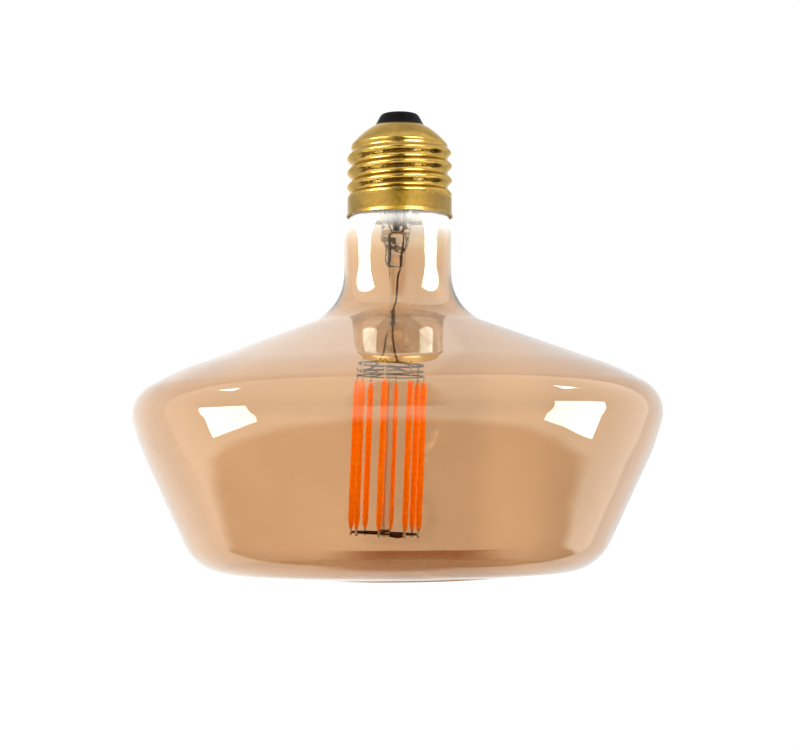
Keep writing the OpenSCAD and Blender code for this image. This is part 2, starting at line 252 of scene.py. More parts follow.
def blob(centre, size, seed, rings=8, sides=12, rough=0.12):
    """Uneven bead of weld metal."""
    verts, faces = [Vector(centre) + Vector((0, 0, size[2]))], []
    for k in range(1, rings):
        polar = math.pi * k / rings
        for i in range(sides):
            a = math.tau * i / sides
            d = Vector((math.sin(polar) * math.cos(a), math.sin(polar) * math.sin(a), math.cos(polar)))
            bump = 1 + rough * noise.noise(2.3 * d + Vector((seed, 2 * seed, -seed)))
            verts.append(Vector(centre) + Vector([d[n] * size[n] * bump for n in range(3)]))
    verts.append(Vector(centre) - Vector((0, 0, size[2])))
    for i in range(sides):
        j = (i + 1) % sides
        faces.append((0, 1 + i, 1 + j))
        foot = 1 + (rings - 2) * sides
        faces.append((foot + j, foot + i, len(verts) - 1))
        for k in range(rings - 2):
            a = 1 + k * sides
            faces.append((a + i, a + sides + i, a + sides + j, a + j))
    return verts, faces


def join_parts(name, parts, shift=None):
    """One object out of several (verts, faces) lists."""
    verts, faces = [], []
    for part_verts, part_faces in parts:
        base = len(verts)
        verts += [shift(v) if shift else v for v in part_verts]
        faces += [tuple(base + i for i in f) for f in part_faces]
    return turn_outward(new_object(name, verts, faces))


def finish_piece(obj, material, slot, *nodes):
    """Gives a piece its material and puts it in the place of its CAD nodes. The slot is not used."""
    obj.data.materials.clear()
    obj.data.materials.append(material)
    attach(obj, "root")
    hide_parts(*nodes)


# ---- Materials ----

WHITE = (1, 1, 1)
# The middle range of Blender's noise, which most of its values keep to.
GRAIN = (0.3, 0.7)
# Sockets of a colour Mix node, which share their names with those of its other kinds.
MIX_A, MIX_B, MIX_RESULT = 6, 7, 2


class Paint:
    """One procedural material, built node by node on the object's own coordinates."""

    def __init__(self, name, **sockets):
        self.material = bpy.data.materials.new(name)
        self.material.use_nodes = True
        self.tree = self.material.node_tree
        self.shader = self.tree.nodes["Principled BSDF"]
        self.place = self.node("ShaderNodeTexCoord").outputs["Object"]
        for socket, value in sockets.items():
            self.shader.inputs[socket.replace("_", " ")].default_value = value

    def node(self, kind, **settings):
        made = self.tree.nodes.new(kind)
        for key, value in settings.items():
            setattr(made, key, value)
        return made

    def link(self, source, node, socket):
        self.tree.links.new(source, node.inputs[socket])

    def stretched(self, scale):
        """The place, scaled by axis, in units of one millimetre."""
        mapping = self.node("ShaderNodeMapping")
        mapping.inputs["Scale"].default_value = [s / MM for s in scale]
        self.link(self.place, mapping, "Vector")
        return mapping.outputs["Vector"]

    def noise(self, scale=(1, 1, 1), detail=4, rough=0.5):
        texture = self.node("ShaderNodeTexNoise")
        texture.inputs["Scale"].default_value = 1
        texture.inputs["Detail"].default_value = detail
        texture.inputs["Roughness"].default_value = rough
        self.link(self.stretched(scale), texture, "Vector")
        return texture.outputs["Fac"]

    def height(self, low, high):
        """0 at one height and 1 at another, in millimetres."""
        split = self.node("ShaderNodeSeparateXYZ")
        self.link(self.stretched((1, 1, 1)), split, "Vector")
        return self.remap(split.outputs["Z"], low, high, 0, 1)

    def remap(self, source, low, high, to_low, to_high):
        node = self.node("ShaderNodeMapRange", interpolation_type="SMOOTHSTEP")
        for socket, value in (("From Min", low), ("From Max", high), ("To Min", to_low), ("To Max", to_high)):
            node.inputs[socket].default_value = value
        self.link(source, node, "Value")
        return node.outputs["Result"]

    def ramp(self, source, *stops):
        """Colours at places from 0 to 1."""
        node = self.node("ShaderNodeValToRGB")
        elements = node.color_ramp.elements
        while len(elements) < len(stops):
            elements.new(0.5)
        for element, (place, colour) in zip(elements, stops):
            element.position = place
            element.color = (*colour, 1)
        self.link(source, node, "Fac")
        return node.outputs["Color"]

    def mix(self, a, b, factor, kind="MIX"):
        node = self.node("ShaderNodeMix", data_type="RGBA", blend_type=kind)
        for socket, value in ((0, factor), (MIX_A, a), (MIX_B, b)):
            if isinstance(value, bpy.types.NodeSocket):
                self.tree.links.new(value, node.inputs[socket])
            else:
                node.inputs[socket].default_value = value if socket == 0 else (*value, 1)
        return node.outputs[MIX_RESULT]

    def colour(self, source):
        self.link(source, self.shader, "Base Color")

    def roughness(self, source, low, high):
        self.link(self.remap(source, *GRAIN, low, high), self.shader, "Roughness")

    def bump(self, *layers):
        """Stacks bump layers of (source, depth in millimetres)."""
        normal = None
        for source, depth in layers:
            node = self.node("ShaderNodeBump")
            node.inputs["Strength"].default_value = 1
            node.inputs["Distance"].default_value = depth * MM
            self.link(source, node, "Height")
            if normal:
                self.link(normal, node, "Normal")
            normal = node.outputs["Normal"]
        self.link(normal, self.shader, "Normal")


def amber_glass():
    """Gold-coated glass: hazy at the seal, clear in the upper neck, amber from there down and darkest where
    the coat pooled round the base."""
    paint = Paint("amber_glass", IOR=1.6, Specular_IOR_Level=0.9, Specular_Tint=(0.8, 0.93, 0.8, 1))
    coat = paint.ramp(paint.height(COAT_FULL, COAT_START), (0, AMBER), (0.5, (0.82, 0.64, 0.45)),
                      (0.8, (0.93, 0.87, 0.80)), (1, (0.975, 0.97, 0.965)))
    pool = paint.ramp(paint.height(*POOL_DEPTHS), (0, (0.72, 0.55, 0.40)), (0.6, (0.9, 0.8, 0.7)), (1, WHITE))
    patches = paint.ramp(paint.noise((0.05, 0.05, 0.05), 3), (0.3, (0.95, 0.94, 0.93)), (0.7, WHITE))
    paint.colour(paint.mix(paint.mix(coat, patches, 1.0, "MULTIPLY"), pool, 1.0, "MULTIPLY"))
    haze = paint.remap(paint.height(NECK_FULL, COAT_START), 0, 1, 1, 0.86)
    paint.link(haze, paint.shader, "Transmission Weight")
    paint.roughness(paint.noise((0.4, 0.4, 0.4), 5), 0.0, 0.012)
    paint.bump((paint.noise((0.045, 0.045, 0.07), 2), 0.012), (paint.noise((0.16, 0.16, 0.05), 3), 0.003))
    return paint.material


def clear_glass():
    """Stem glass, clear along the tube and milky where the flare is fused to the neck."""
    paint = Paint("clear_glass", IOR=1.5)
    tone = paint.ramp(paint.noise((0.3, 0.3, 0.1)), (0.3, (0.95, 0.96, 0.97)), (0.7, (0.99, 0.99, 0.99)))
    # Darker towards the foot of the rod.
    foot_darkening = paint.ramp(paint.height(ROD_FOOT, PINCH_FOOT), (0, (0.80, 0.74, 0.68)), (1, (0.95, 0.93, 0.90)))
    paint.colour(paint.mix(tone, foot_darkening, 1.0, "MULTIPLY"))
    milk = paint.remap(paint.height(COAT_START, WELD_FOOT), 0, 1, 1, 0.25)
    paint.link(milk, paint.shader, "Transmission Weight")
    paint.roughness(paint.noise((1, 1, 0.3)), 0.0, 0.02)
    paint.bump((paint.noise((0.5, 0.5, 0.15), 2), 0.05))
    return paint.material


def brass(name, polish=0.2, satin=0.38):
    """Lacquered brass with patches of tarnish and drawing lines: polished thread and rougher satin skirt,
    with painted shade darkening the skirt's colour.
    """
    paint = Paint(name, Metallic=1, Coat_Weight=0.6, Coat_Roughness=0.06, Specular_Tint=(1, 0.8, 0.35, 1))
    tone = paint.ramp(paint.noise((0.25, 0.25, 0.5), 6), (0.25, (0.26, 0.148, 0.016)),
                      (0.55, (0.33, 0.2, 0.024)), (0.8, (0.40, 0.26, 0.042)))
    tarnish = paint.ramp(paint.noise((0.9, 0.9, 1.6), 8, 0.7), (0.35, (0.72, 0.62, 0.5)), (0.55, WHITE))
    skirt = paint.height(SKIRT_TOP + 0.6, SKIRT_TOP - 0.4)
    # Painted shade: the skirt's colour is darkened to even out the light from the bounce lights.
    skirt_shade = paint.ramp(skirt, (0, WHITE), (1, (0.6, 0.58, 0.5)))
    paint.colour(paint.mix(paint.mix(tone, tarnish, 0.5, "MULTIPLY"), skirt_shade, 1.0, "MULTIPLY"))
    lines = paint.noise((0.15, 0.15, 9), 6, 0.7)
    grain = paint.remap(paint.noise((1.4, 1.4, 2), 6), *GRAIN, -0.05, 0.07)
    level = paint.node("ShaderNodeMath", operation="MULTIPLY_ADD")
    paint.tree.links.new(skirt, level.inputs[0])
    level.inputs[1].default_value = satin - polish
    level.inputs[2].default_value = polish
    total = paint.node("ShaderNodeMath", operation="ADD")
    paint.tree.links.new(level.outputs[0], total.inputs[0])
    paint.tree.links.new(grain, total.inputs[1])
    paint.link(total.outputs[0], paint.shader, "Roughness")
    paint.bump((lines, 0.012), (paint.noise((2.5, 2.5, 2.5), 5), 0.01))
    return paint.material


def plain(name, dark, light, scale, rough, depth, **sockets):
    """A finish with mottled colour and roughness at one scale, in lumps a millimetre, and finer relief."""
    paint = Paint(name, **sockets)
    size = (scale, scale, scale)
    paint.colour(paint.ramp(paint.noise(size, 5), (0.3, dark), (0.7, light)))
    paint.roughness(paint.noise(size, 3), *rough)
    paint.bump((paint.noise((3 * scale, 3 * scale, 3 * scale), 6), depth))
    return paint.material


def phosphor():
    """Orange silicone phosphor coat: translucent, matt, with the row of chips showing as paler bands."""
    paint = Paint("phosphor", Subsurface_Weight=0.3, Subsurface_Scale=0.0006, Specular_IOR_Level=0)
    # A little glow stands for the daylight that the phosphor takes in through the glass.
    paint.shader.inputs["Emission Color"].default_value = (1.0, 0.2, 0, 1)
    paint.shader.inputs["Emission Strength"].default_value = 0.38
    wave = paint.node("ShaderNodeTexWave", bands_direction="Z")
    wave.inputs["Scale"].default_value = 0.18
    wave.inputs["Distortion"].default_value = 1.5
    paint.link(paint.stretched((1, 1, 1)), wave, "Vector")
    bands = paint.ramp(wave.outputs["Fac"], (0.2, (0.97, 0.26, 0.002)), (0.9, (1.0, 0.295, 0.003)))
    mottle = paint.ramp(paint.noise((2, 2, 1), 5), (0.3, (0.93, 0.88, 0.8)), (0.7, WHITE))
    paint.colour(paint.mix(bands, mottle, 0.6, "MULTIPLY"))
    paint.roughness(paint.noise((3, 3, 3), 4), 0.6, 0.8)
    paint.bump((paint.noise((2.2, 2.2, 1.2), 5), 0.015))
    return paint.material


def board(name, mask, copper):
    """Circuit board: tinted mask with paler tracks under it and a woven relief."""
    paint = Paint(name)
    tracks = paint.node("ShaderNodeTexVoronoi", feature="DISTANCE_TO_EDGE")
    tracks.inputs["Scale"].default_value = 1
    paint.link(paint.stretched((0.45, 0.45, 0.45)), tracks, "Vector")
    paint.colour(paint.ramp(tracks.outputs["Distance"], (0.04, copper), (0.08, mask)))
    paint.roughness(paint.noise((1, 1, 1)), 0.25, 0.45)
    weave = paint.node("ShaderNodeTexWave", bands_direction="DIAGONAL")
    weave.inputs["Scale"].default_value = 1
    paint.link(paint.stretched((1.2, 1.2, 1.2)), weave, "Vector")
    paint.bump((weave.outputs["Fac"], 0.01))
    return paint.material


AMBER = (0.772, 0.58, 0.405)

MATERIALS = {
    "cap_brass": brass("cap_brass"),
    "contact_brass": brass("contact_brass", 0.22, 0.22),
    "amber_glass": amber_glass(),
    "clear_glass": clear_glass(),
    "phosphor": phosphor(),
    "board_green": board("board_green", (0.02, 0.12, 0.05), (0.05, 0.22, 0.09)),
    "board_dark": board("board_dark", (0.01, 0.02, 0.04), (0.03, 0.05, 0.09)),
}

# Name, dark and light tone, lumps a millimetre, roughness from and to, relief in millimetres, other sockets.
PLAIN = [
    ("black_glass", (0.004, 0.004, 0.004), (0.01, 0.009, 0.009), 0.8, (0.3, 0.5), 0.04,
     {"Specular_IOR_Level": 0.03}),
    ("solder", (0.42, 0.42, 0.43), (0.72, 0.72, 0.73), 1.5, (0.25, 0.5), 0.05, {"Metallic": 1}),
    ("cement", (0.62, 0.54, 0.40), (0.82, 0.76, 0.62), 1.2, (0.8, 0.95), 0.12, {}),
    ("dark_wire", (0.03, 0.012, 0.004), (0.11, 0.05, 0.018), 0.9, (0.45, 0.7), 0.02,
     {"Metallic": 0.2, "Specular_IOR_Level": 0.05}),
    ("pin_steel", (0.30, 0.26, 0.22), (0.86, 0.84, 0.80), 0.45, (0.15, 0.35), 0.02, {"Metallic": 1}),
    ("liner_plastic", (0.78, 0.78, 0.75), (0.88, 0.88, 0.85), 0.5, (0.4, 0.6), 0.02, {}),
    ("chip_plastic", (0.02, 0.02, 0.022), (0.05, 0.05, 0.052), 4, (0.45, 0.65), 0.02, {}),
    ("capacitor_sleeve", (0.02, 0.03, 0.11), (0.04, 0.06, 0.18), 0.8, (0.2, 0.35), 0.02, {}),
    ("coil_copper", (0.36, 0.13, 0.05), (0.62, 0.29, 0.12), 3, (0.2, 0.4), 0.1, {"Metallic": 1}),
    ("resistor_ceramic", (0.36, 0.14, 0.08), (0.50, 0.23, 0.15), 2, (0.5, 0.7), 0.02, {}),
    ("film_block", (0.42, 0.07, 0.03), (0.58, 0.13, 0.06), 1, (0.2, 0.35), 0.02, {}),
    ("wire_insulation_live", (0.36, 0.03, 0.02), (0.46, 0.06, 0.04), 1, (0.4, 0.6), 0.02, {}),
    ("wire_insulation_neutral", (0.03, 0.04, 0.24), (0.06, 0.07, 0.34), 1, (0.4, 0.6), 0.02, {}),
]
for name, dark, light, scale, rough, depth, sockets in PLAIN:
    MATERIALS[name] = plain(name, dark, light, scale, rough, depth, **sockets)


# ---- Screw cap ----

MEAN_R = CREST_R - THREAD_DEPTH / 2
THREAD_FADE = 2.4


def arc_centre(p, q, radius):
    """Centre of the arc from p to q that bulges to the right of the way from p to q."""
    dx, dz = q[0] - p[0], q[1] - p[1]
    length = math.hypot(dx, dz)
    depth = math.sqrt(radius ** 2 - length ** 2 / 4) / length
    return (p[0] + q[0]) / 2 - dz * depth, (p[1] + q[1]) / 2 + dx * depth


def thread_radius(angle, z):
    """Outer radius of the rolled shell at an angle and a height."""
    head = smooth_step((SHOULDER[1] - z) / THREAD_FADE)
    foot = smooth_step((z - SKIRT_TOP) / THREAD_FADE)
    base = MEAN_R + (SKIRT_R - MEAN_R) * (1 - foot) + (SHOULDER[0] - MEAN_R) * (1 - head)
    wave = math.cos(math.tau * (z - THREAD_CREST_Z) / THREAD_PITCH - angle)
    return base + THREAD_DEPTH / 2 * head * foot * wave


def screw_shell():
    """Rolled shell as one closed sheet: shoulder, helical thread, plain skirt and a lightly flared rim."""
    segments, thread_rows = 192, 96
    centre = arc_centre(SHOULDER, LIP, SHOULDER_ROUND)
    start = math.atan2(LIP[1] - centre[1], LIP[0] - centre[0])
    end = math.atan2(SHOULDER[1] - centre[1], SHOULDER[0] - centre[0])

    def skin(depth):
        """Rows of one side of the sheet. Those with no radius get it from thread_radius, angle by angle."""
        rows = arc(centre, SHOULDER_ROUND - depth, start, end, 20)[:-1]
        rows += [(None, SHOULDER[1] + (SKIRT_TOP - SHOULDER[1]) * k / thread_rows)
                 for k in range(thread_rows + 1)]
        rows += [(SKIRT_R - depth, z) for z in (-22.6, -23.6, -24.6, -25.4)]
        rows += [(SKIRT_R - depth + RIM_FLARE * smooth_step(t), -25.6 - 0.9 * t)
                 for t in (0.1, 0.35, 0.6, 0.85, 1)]
        return [(r, z, depth) for r, z in rows]

    edge = [(SKIRT_R + RIM_FLARE - SHEET_T / 2, -CAP_H, 0)]
    lip = [(LIP[0] - 0.16, LIP[1] - 0.12, 0)]
    rows = skin(0) + edge + skin(SHEET_T)[::-1] + lip
    verts = []
    for r, z, depth in rows:
        for i in range(segments):
            a = math.tau * i / segments
            reach = thread_radius(a, z) - depth if r is None else r
            verts.append((reach * math.cos(a), reach * math.sin(a), z))
    return turn_outward(new_object("rolled_shell", verts, grid_faces(len(rows), segments, True)))


def insulator():
    """Black glass cone with a domed shoulder round the contact, and its foot inside the shell."""
    outline = [(1.25, -0.84), (3.3, -0.8), (3.62, -0.5), (4.0, -0.42), (4.55, -0.62), (5.0, -1.15),
               (5.4, -1.9), (5.8, -2.65), (6.2, -3.25), (6.52, -3.55)]
    top = [(v[0], v[2]) for v in smooth_path([(r, 0, z) for r, z in outline], 5)]
    profile = top + [(6.2, -3.62), (6.2, -6.9), (6.0, -7.3), (5.6, -7.5), (1.25, -7.5)]
    return lathe("insulator_cone", profile, 96)


def centre_contact():
    """Brass disc with a hollow rivet through the insulator."""
    profile = [(0.7, -0.37), (2.9, -0.36), (3.25, -0.4), (3.38, -0.5), (3.4, -0.74), (1.2, -0.76),
               (1.2, -4.6), (0.7, -4.6)]
    return lathe("contact_disc", profile, 96)


def contact_solder():
    """Button of solder, flat on top and uneven at its edge, with its plug in the rivet."""
    def uneven(v):
        x, y, z = v
        lump = 0.06 * noise.noise(Vector((x, y, 3)) * 0.9)
        edge = min(1, max(0, (math.hypot(x, y) - 1.3) / 0.5))
        return x * (1 + edge * lump), y * (1 + edge * lump), z

    profile = [(0, 0), (0.8, 0), (1.3, 0), (1.6, -0.05), (1.9, -0.14), (2.1, -0.25), (2.18, -0.355),
               (0.7, -0.36), (0.7, -1.4), (0, -1.4)]
    return lathe("solder_button", profile, 48, uneven, closed=False)


# ---- Glass ----

def glass_profile(depth):
    """Outline of the bulb at a depth under its outer surface, from the sealed end of the neck to the base.

    The rim is a tight arc between two wide ones, and each is tangent to the next and to the cone or wall.
    """
    swell_turn = math.acos((NECK_SEAL_R - NECK_R) / NECK_SWELL + 1)
    turn = math.pi / 2 - SHOULDER_SLOPE
    normal = (math.cos(turn), math.sin(turn))
    fillet = (NECK_R + NECK_FILLET, NECK_END)
    foot = (fillet[0] - NECK_FILLET * normal[0], fillet[1] - NECK_FILLET * normal[1])
    spare = EASE_R - RIM_ROUND
    rim_turn = turn - SHOULDER_EASE
    rim_r = RIM_R - RIM_ROUND
    rim = (rim_r, (normal[0] * foot[0] + normal[1] * foot[1] - EASE_R + spare * math.cos(SHOULDER_EASE)
                   - normal[0] * rim_r) / normal[1])
    upper = (rim[0] - spare * math.cos(rim_turn), rim[1] - spare * math.sin(rim_turn))
    lower = (rim[0] - spare * math.cos(WALL_EASE), rim[1] + spare * math.sin(WALL_EASE))
    reach = BASE_DOME_R - BASE_ROUND
    dome_turn = math.asin(BASE_RING_R / reach)
    base = (BASE_RING_R, BASE_DOME_R - BULB_H - reach * math.cos(dome_turn))
    way = (lower[0] - base[0], lower[1] - base[1])
    wall = math.atan2(way[1], way[0]) - math.acos((BASE_ROUND - EASE_R) / math.hypot(*way))
    down = -math.pi / 2
    points = [(NECK_SEAL_R - depth, NECK_TOP - 0.5 * k) for k in range(8)]
    points += arc((NECK_R - NECK_SWELL, NECK_FULL), NECK_SWELL - depth, swell_turn, 0, 14)
    points += [(NECK_R - depth, NECK_FULL + (NECK_END - NECK_FULL) * k / 8) for k in range(1, 8)]
    points += arc(fillet, NECK_FILLET + depth, math.pi, math.pi + turn, 36)
    cone = (points[-1], (upper[0] + (EASE_R - depth) * normal[0], upper[1] + (EASE_R - depth) * normal[1]))
    points += [between(cone, k / 24) for k in range(1, 24)]
    points += arc(upper, EASE_R - depth, turn, rim_turn, 14)
    points += arc(rim, RIM_ROUND - depth, rim_turn, -WALL_EASE, 48)[1:]
    points += arc(lower, EASE_R - depth, -WALL_EASE, wall, 14)[1:]
    side = (points[-1], (base[0] + (BASE_ROUND - depth) * math.cos(wall),
                         base[1] + (BASE_ROUND - depth) * math.sin(wall)))
    points += [between(side, k / 24) for k in range(1, 24)]
    points += arc(base, BASE_ROUND - depth, wall, down + dome_turn, 36)
    points += arc((0, BASE_DOME_R - BULB_H), BASE_DOME_R - depth, down + dome_turn, down, 24)[1:]
    points[-1] = (0, points[-1][1])
    return points


def glass_envelope():
    """Blown wall, thinner in the disc and out of true as blown glass is: uneven, off its axis, crooked."""
    def blown(v):
        p = Vector(v)
        sag = (0.5 + 0.5 * noise.noise(p * 0.035) + 0.25 * noise.noise(p * 0.08)
               + 0.2 * noise.noise(p * 0.17))
        inward = 0.15 * max(0, sag) * smooth_step((NECK_TOP - 6 - p.z) / 20)
        flat = Vector((p.x, p.y, 0))
        if flat.length > 1e-6:
            p -= flat.normalized() * min(inward, 0.5 * flat.length)
        seated = smooth_step((NECK_TOP - 2 - p.z) / 9)
        return p + seated * Vector((GLASS_SHIFT, 0, GLASS_TILT * p.x))

    outside = glass_profile(0)
    thick, thin = glass_profile(GLASS_T), glass_profile(DISC_T)
    inside = [between((p, q), smooth_step((THIN_FROM - p[1]) / THIN_FADE)) for p, q in zip(thick, thin)]
    return lathe("blown_bulb", outside + inside[::-1], 256, blown)


def stem_flare():
    """Flare, tube and flattened pinch of the stem in one skin, open only towards the cap."""
    bell = (FLARE_R + BELL_ROUND, NECK_TOP - BELL_ROUND)
    tube = [(FLARE_R, z) for z in (-27.4, -28.4, -29.4, -30.4)]
    pinch = [(3.6, -31.4), (3.42, -32.4), (3.1, -33.6), (2.82, -35), (2.6, -36.4), (2.42, -37.6),
             (2.2, -38.4), (1.8, -38.85), (1.2, PINCH_FOOT), (0, PINCH_FOOT)]
    outside = [(NECK_SEAL_R, NECK_TOP), (10, NECK_TOP)] + arc(bell, BELL_ROUND, math.pi / 2, math.pi, 14)
    inside = arc(bell, BELL_ROUND + FLARE_T, math.pi / 2, math.pi, 14)
    bore = FLARE_R - FLARE_T
    hollow = [(bore, z) for z in (-27.4, -28.6, -29.6, -30.2)] + [(2.5, -30.7), (1.6, -31), (0, -31.1)]
    rim = [(NECK_SEAL_R, NECK_TOP + FLARE_T), (10, NECK_TOP + FLARE_T)]
    profile = (outside + tube + pinch)[::-1] + rim + inside + hollow

    def settle(v):
        lean = smooth_step((NECK_TOP - 0.4 - v[2]) / 3.4)
        flat = smooth_step((TUBE_FOOT + 1.5 - v[2]) / 5)
        p = Vector((v[0], v[1] * (1 - 0.3 * flat), v[2]))
        lump = Vector((noise.noise(0.55 * p), noise.noise(0.55 * p + Vector((7, 0, 0))), 0))
        p += 0.9 * smooth_step((TUBE_FOOT + 2.5 - v[2]) / 3) * smooth_step((v[2] - PINCH_FOOT) / 1.5) * lump
        return p.lerp(on_stem(p), lean)

    return lathe("stem_glass", profile, 96, settle, closed=False)


def exhaust_tube():
    """Pumping tube, sealed to a drawn-out tip above the flare."""
    profile = [(0, -21.25), (0.16, -21.4), (0.34, -21.75), (0.6, -22.3), (0.78, -23), (0.8, -24),
               (0.8, -30.78), (0.45, -30.78), (0.45, -24), (0.36, -23), (0.2, -22.5), (0, -22.3)]
    return lathe("pumping_tube", profile, 32, on_stem, closed=False)


def support_rod():
    """Drawn rod with a fused collar at the pinch and a bead at its end."""
    body = [(ROD_R * (1 + 0.018 * math.sin(0.31 * k)), -41 - k * 1.25) for k in range(51)]
    profile = ([(0, -39.03), (1.3, -39.03), (1.42, -39.35), (1.3, -39.9), (1.17, -40.5)] + body
               + [(1.2, ROD_FOOT + 0.5), (1.235, ROD_FOOT), (1.17, -105.7), (0.9, -106.1), (0.5, -106.33),
                  (0, -106.42)])
    return lathe("glass_rod", profile, 48, on_stem, closed=False)


# ---- Wires and cage ----

CLIP = (0.1, -ROD_R - 0.75)
CLIP_TOP, CLIP_FOOT = -50.4, -54.2
FEED_R = RING_R - WIRE_D
FEED_ANGLE = math.radians(-70)
WIRE_R = WIRE_D / 2


def wire(points, radius=WIRE_R, sides=12):
    """Round wire through given points."""
    return sweep(smooth_path(points), radius, sides)


def lead_wire_positive():
    """From the cap through the pinch, then in front of the rod to the clip."""
    path = [(1.9, 0, -20.4), (1.9, 0, -27), (1.75, 0, -29), (LEAD_GAP, 0, -31.2), (LEAD_GAP, 0, -38.6),
            (1.2, -0.55, -40), (0.85, -1.25, -41.8), (0.7, -1.45, -47), (0.3, -1.6, -49.2), (*CLIP, CLIP_TOP)]
    return join_parts("lead_in_positive", [wire(path)], on_stem)


def lead_wire_negative():
    """From the cap through the pinch, then behind the rod and out to the lower of the two top rings."""
    path = [(-1.9, 0, -20.4), (-1.9, 0, -27), (-1.75, 0, -29), (-LEAD_GAP, 0, -31.2), (-LEAD_GAP, 0, -38.6),
            (-1.15, 0.6, -40), (-0.9, 1.25, -42.4), (-0.9, 1.3, -48), (-0.95, 1.25, -55), (-1.5, 0.4, -57.3),
            (-2.1, 0, -61), (-4.2, 0, -64), (-FEED_R, 0, UPPER_Z[1])]
    return join_parts("lead_in_negative", [wire(path)], on_stem)


def lead_clip():
    """Crimped sleeve with two turns of binding wire and a little flash of weld."""
    sleeve = [Vector((*CLIP, CLIP_TOP + (CLIP_FOOT - CLIP_TOP) * k / 16)) for k in range(17)]
    parts = [sweep(sleeve, lambda t: 0.44 + 0.07 * math.sin(9 * t), 14)]
    for z in (CLIP_FOOT + 0.8, CLIP_TOP - 0.8):
        turn = [Vector((CLIP[0] + 0.55 * math.cos(a), CLIP[1] + 0.55 * math.sin(a), z + 0.08 * math.cos(a)))
                for a in (math.tau * k / 28 for k in range(28))]
        parts.append(sweep(turn, 0.19, 10, close=True))
    parts.append(blob((CLIP[0] + 0.3, CLIP[1] - 0.3, -52.2), (0.3, 0.28, 0.45), 3))
    return join_parts("lead_joint", parts, on_stem)


def positive_feed():
    """From the clip out to the higher of the two top rings."""
    end = (FEED_R * math.cos(FEED_ANGLE), FEED_R * math.sin(FEED_ANGLE), UPPER_Z[0])
    path = [(*CLIP, CLIP_FOOT), (0.2, -1.9, -56), (0.4, -2.0, -58.4), (1.0, -2.6, -61), (1.9, -4.6, -62.9),
            end]
    return join_parts("cage_feed", [wire(path)], on_stem)


def cage_point(i, radius, z):
    """Place beside filament i, counted from 1, on the upright stem."""
    a = math.radians(FIRST_ANGLE + 360 * (i - 1) / FILAMENTS)
    return Vector((radius * math.cos(a), radius * math.sin(a), z))


def wire_ring(name, z, seed):
    """Hand-bent ring, slightly out of round."""
    count = 96
    path = []
    for k in range(count):
        a = math.tau * k / count
        d = Vector((math.cos(a), math.sin(a), 0))
        wobble = 0.035 * noise.noise(1.6 * d + Vector((seed, 0, seed)))
        path.append(d * (RING_R + wobble) + Vector((0, 0, z + 1.6 * wobble)))
    return join_parts(name, [sweep(path, WIRE_R, 10, close=True)], on_stem)


def upper_pins():
    """End pins with their weld beads. Alternate ones reach the higher and the lower of the two top rings."""
    parts = []
    for i in range(1, FILAMENTS + 1):
        ring_z = UPPER_Z[i % 2]
        head = ring_z + 0.9
        path = [cage_point(i, CAGE_R + 0.04 * math.sin(2 * k + i),
                           FILAMENT_TOP + (head - FILAMENT_TOP) * k / 6) for k in range(7)]
        parts.append(sweep(path, lambda t: 0.25 - 0.05 * smooth_step((t - 0.85) / 0.15), 10))
        parts.append(blob(cage_point(i, CAGE_R - 0.12, ring_z), (0.36, 0.36, 0.42), i))
        parts.append(blob(cage_point(i, CAGE_R, FILAMENT_TOP - 0.05), (0.34, 0.34, 0.3), i + 20))
    return join_parts("top_pins", parts, on_stem)


def lower_pins():
    """End pins with their weld beads, all on the one ring at the foot."""
    parts = []
    for i in range(1, FILAMENTS + 1):
        path = [cage_point(i, CAGE_R, FILAMENT_FOOT + (LOWER_Z - 0.85 - FILAMENT_FOOT) * k / 6)
                for k in range(7)]
        parts.append(sweep(path, 0.24, 10))
        parts.append(blob(cage_point(i, CAGE_R - 0.1, LOWER_Z - 0.15), (0.42, 0.42, 0.42), i + 40))
    return join_parts("foot_pins", parts, on_stem)


def upper_anchors():
    """Two wires for each top ring, out from the rod and in line with each other."""
    parts = []
    for k, z in enumerate(UPPER_Z):
        for side in (0, math.pi):
            a = math.radians(40 + 90 * k) + side
            u = Vector((math.cos(a), math.sin(a), 0))
            reach = RING_R - WIRE_R
            spots = ((ROD_R - 0.1, z + 1), (2.6, z + 0.95), (5.4, z + 0.35), (reach, z))
            parts.append(wire([u * r + Vector((0, 0, height)) for r, height in spots], 0.2, 10))
    return join_parts("ring_anchors", parts, on_stem)


def lower_spokes():
    """Three wires from the rod's foot to the ring, and the weld where they meet."""
    spots = ((1.1, ROD_FOOT), (3, LOWER_Z - 0.25), (5.6, LOWER_Z - 0.1), (RING_R - WIRE_R, LOWER_Z))
    parts = []
    for a in (20, 150, 265):
        u = Vector((math.cos(math.radians(a)), math.sin(math.radians(a)), 0))
        parts.append(wire([u * r + Vector((0, 0, height)) for r, height in spots]))
    parts.append(blob((-0.4, -1.2, ROD_FOOT - 0.2), (0.75, 0.5, 0.5), 5, rough=0.3))
    return join_parts("foot_spokes", parts, on_stem)


def lower_tab():
    """Bent scrap of strip, tapering to a corner."""
    outline = [(0, 0.9), (1.1, 1.22), (2.3, 1.5), (3.4, 0.86), (4.4, 0.2), (2.6, 0.1), (1.3, 0.45)]
    verts = []
    for thick in (0, 0.15):
        for x, z in outline:
            curl = 0.12 * math.sin(1.1 * x)
            verts.append((0.9 + 0.94 * x, -1.6 - thick + 0.32 * x + curl, -107 + z + 0.14 * x))
    n = len(outline)
    faces = [tuple(range(n)), tuple(range(2 * n - 1, n - 1, -1))]
    faces += [(i, (i + 1) % n, n + (i + 1) % n, n + i) for i in range(n)]
    obj = join_parts("foot_tab", [([Vector(v) for v in verts], faces)], on_stem)
    obj.data.polygons.foreach_set("use_smooth", [False] * len(obj.data.polygons))
    return obj


